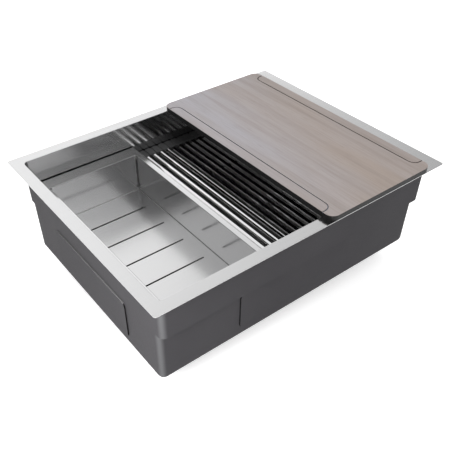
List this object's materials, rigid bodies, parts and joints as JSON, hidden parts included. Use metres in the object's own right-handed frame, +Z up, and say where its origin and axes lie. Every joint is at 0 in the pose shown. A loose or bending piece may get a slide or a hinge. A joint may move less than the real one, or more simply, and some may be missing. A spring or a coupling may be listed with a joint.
{
  "type": "kitchen sink",
  "caption": "Single-bowl workstation sink of brushed steel with a ledged bowl, slotted colander, roll-up rack, wood-look board and drain strainer.",
  "frame": {"origin": "on the drain's axis, at the lower end of the outlet tube", "axes": "+X along the sink, +Y to its back, +Z up"},
  "size_m": [0.7112, 0.5588, 0.288],
  "materials": {
    "bowl_steel": "fine brushed stainless steel",
    "sound_coat": "matt sprayed undercoat",
    "drain_steel": "polished stainless steel",
    "seal_rubber": "matt black rubber",
    "fibre": "pressed fibre",
    "nut_plastic": "moulded plastic",
    "colander_steel": "fine brushed stainless steel",
    "rod_steel": "bright drawn stainless tube",
    "tab_silicone": "matt dark grey silicone",
    "board_core": "black compact laminate",
    "board_print": "grey-brown wood print, satin"
  },
  "bodies": {
    "sink": {"sink_bowl": "bowl_steel", "sound_coat": "sound_coat", "front_pad": "sound_coat", "back_pad": "sound_coat", "left_pad": "sound_coat", "right_pad": "sound_coat", "floor_pad_left": "sound_coat", "floor_pad_right": "sound_coat", "strainer_body": "drain_steel", "strainer_gasket": "seal_rubber", "friction_ring": "fibre", "lock_nut": "nut_plastic"},
    "basket": {"basket": "drain_steel", "basket_stopper": "seal_rubber", "basket_post": "drain_steel"},
    "colander": {"colander": "colander_steel"},
    "board": {"board_core": "board_core", "board_top_sheet": "board_print", "board_bottom_sheet": "board_core"},
    "rack": {"flat_rods": "rod_steel", "flat_tabs": "tab_silicone"},
    "rolling_4": {"rolling_rod_4": "rod_steel", "rolling_tabs_4": "tab_silicone"},
    "rolling_3": {"rolling_rod_3": "rod_steel", "rolling_tabs_3": "tab_silicone"},
    "rolling_2": {"rolling_rod_2": "rod_steel", "rolling_tabs_2": "tab_silicone"},
    "rolling_1": {"rolling_rod_1": "rod_steel", "rolling_tabs_1": "tab_silicone"}
  },
  "joints": [
    {"name": "board_lift", "type": "slide", "parent": "sink", "child": "board", "axis": [0, 0, 1], "range_m": [0, 0.2]},
    {"name": "colander_lift", "type": "slide", "parent": "sink", "child": "colander", "axis": [0, 0, 1], "range_m": [0, 0.2]},
    {"name": "basket_lift", "type": "slide", "parent": "sink", "child": "basket", "axis": [0, 0, 1], "range_m": [0, 0.12]},
    {"name": "rack_slide", "type": "slide", "parent": "sink", "child": "rack", "axis": [1, 0, 0], "range_m": [0, 0.05]},
    {"name": "rack_roll", "type": "hinge", "parent": "rack", "child": "rolling_4", "pos_m": [0.0136, 0, 0.2], "axis": [0, 1, 0], "range_deg": [0, 45]},
    {"name": "rack_roll_3", "type": "hinge", "parent": "rolling_4", "child": "rolling_3", "pos_m": [-0.0048, 0, 0.2], "axis": [0, 1, 0], "range_deg": [0, 45]},
    {"name": "rack_roll_2", "type": "hinge", "parent": "rolling_3", "child": "rolling_2", "pos_m": [-0.0232, 0, 0.2], "axis": [0, 1, 0], "range_deg": [0, 45]},
    {"name": "rack_roll_1", "type": "hinge", "parent": "rolling_2", "child": "rolling_1", "pos_m": [-0.0416, 0, 0.2], "axis": [0, 1, 0], "range_deg": [0, 45]}
  ],
  "couplings": [
    {"joint": "rack_roll_3", "follows": "rack_roll", "ratio": 1},
    {"joint": "rack_roll_2", "follows": "rack_roll", "ratio": 1},
    {"joint": "rack_roll_1", "follows": "rack_roll", "ratio": 1}
  ]
}
